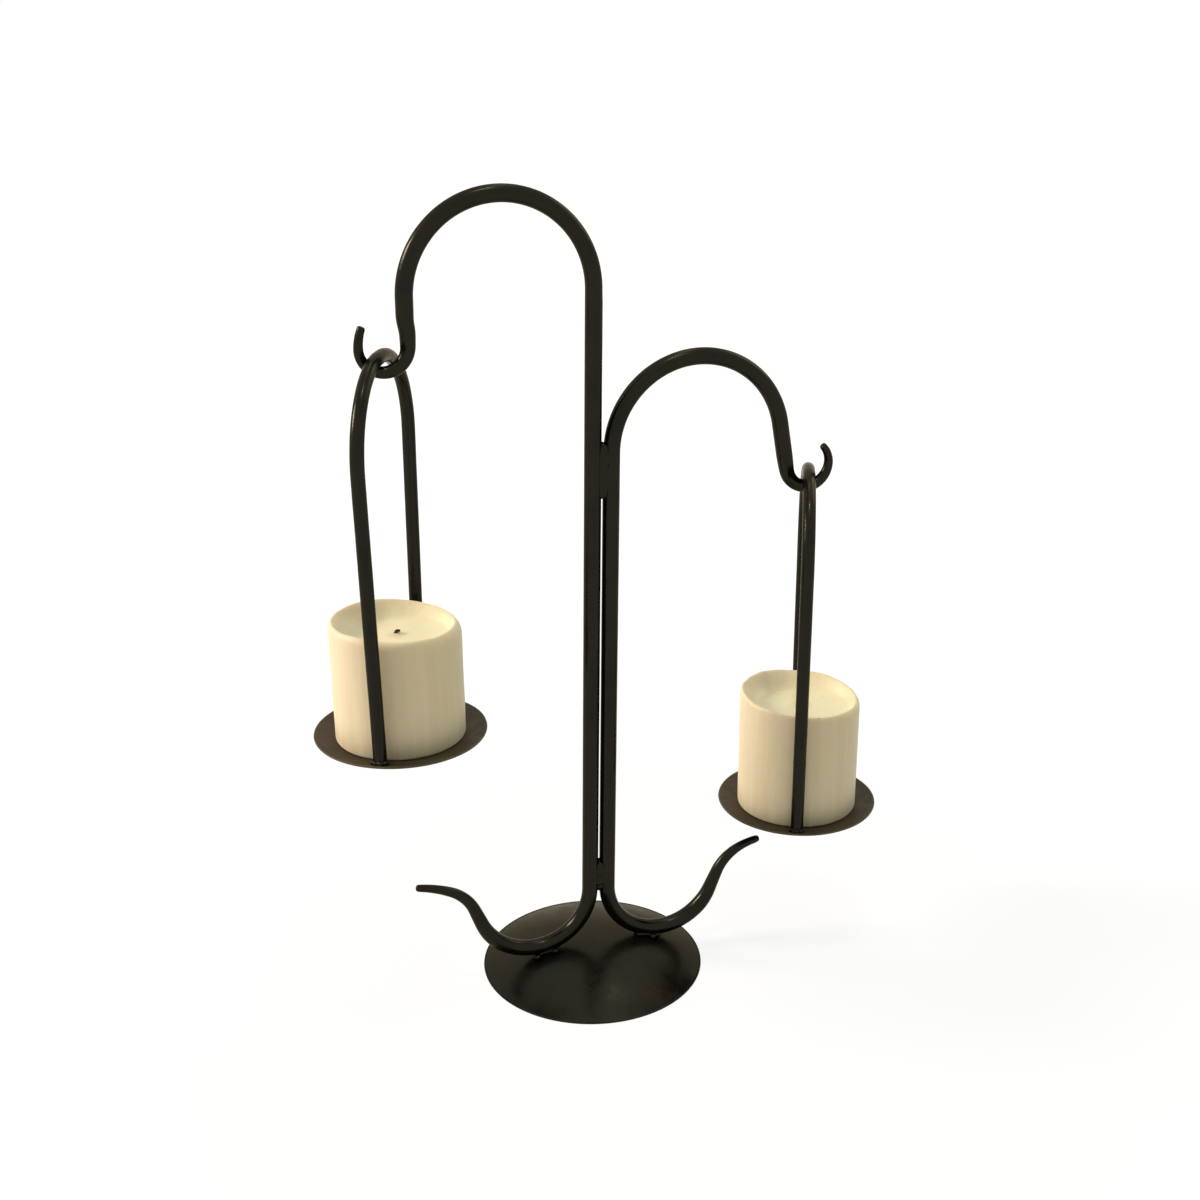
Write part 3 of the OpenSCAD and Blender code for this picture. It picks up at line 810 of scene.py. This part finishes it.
def studio():
    """Pale floor under a white surround, a warm lamp at the left, and weak ones above, behind and at
    the right."""
    n = Nodes("floor")
    tree = n.tree
    path = n.add("ShaderNodeLightPath")
    seen = n.math("MAXIMUM", path.outputs["Is Camera Ray"],
                  n.math("MAXIMUM", path.outputs["Is Glossy Ray"], path.outputs["Is Transmission Ray"]))
    n.shader.inputs["Base Color"].default_value = (0.8, 0.8, 0.8, 1)
    n.shader.inputs["Roughness"].default_value = 1
    n.shader.inputs["Specular IOR Level"].default_value = 0
    white = n.add("ShaderNodeEmission")
    white.inputs["Strength"].default_value = 1.1
    away = n.add("ShaderNodeVectorMath", operation="LENGTH")
    n.feed(away.inputs[0], n.place)
    share = n.span(away.outputs["Value"], 0.25, 1.0, 0.76, 1.0)
    blend = n.add("ShaderNodeMixShader")
    n.feed(blend.inputs[0], n.math("MULTIPLY", seen, share))
    tree.links.new(n.shader.outputs[0], blend.inputs[1])
    tree.links.new(white.outputs[0], blend.inputs[2])
    tree.links.new(blend.outputs[0], tree.nodes["Material Output"].inputs["Surface"])
    mesh = bpy.data.meshes.new("floor")
    corners = ((-1, -1), (1, -1), (1, 1), (-1, 1))
    mesh.from_pydata([(x * FLOOR_REACH, y * FLOOR_REACH, 0) for x, y in corners], [], [(0, 1, 2, 3)])
    mesh.materials.append(n.material)
    floor = bpy.data.objects.new("floor", mesh)
    bpy.context.scene.collection.objects.link(floor)

    world = bpy.data.worlds.new("surround")
    bpy.context.scene.world = world
    world.use_nodes = True
    tree = world.node_tree
    ambient = tree.nodes["Background"]
    ambient.inputs["Color"].default_value = (0.98, 1.0, 0.87, 1)
    ambient.inputs["Strength"].default_value = 0.36
    bright = tree.nodes.new("ShaderNodeBackground")
    bright.inputs["Color"].default_value = (1, 1, 1, 1)
    path = tree.nodes.new("ShaderNodeLightPath")
    choose = [path.outputs[kind] for kind in ("Is Camera Ray", "Is Glossy Ray", "Is Transmission Ray")]
    for _ in range(2):
        larger = tree.nodes.new("ShaderNodeMath")
        larger.operation = "MAXIMUM"
        tree.links.new(choose.pop(), larger.inputs[0])
        tree.links.new(choose.pop(), larger.inputs[1])
        choose.append(larger.outputs[0])
    blend = tree.nodes.new("ShaderNodeMixShader")
    tree.links.new(choose[0], blend.inputs[0])
    tree.links.new(ambient.outputs[0], blend.inputs[1])
    tree.links.new(bright.outputs[0], blend.inputs[2])
    tree.links.new(blend.outputs[0], tree.nodes["World Output"].inputs["Surface"])

    for name, place, size, level, colour in LAMPS:
        data = bpy.data.lights.new(name, "AREA")
        data.shape = "DISK"
        data.size = size
        data.color = colour
        aim = Vector(LAMP_AIM) - Vector(place)
        data.energy = level * math.pi ** 2 * aim.length_squared
        lamp = bpy.data.objects.new(name, data)
        lamp.location = place
        lamp.rotation_euler = aim.to_track_quat("-Z", "Y").to_euler()
        bpy.context.scene.collection.objects.link(lamp)
    bpy.context.scene.view_settings.view_transform = "Standard"


studio()

bpy.context.view_layer.update()
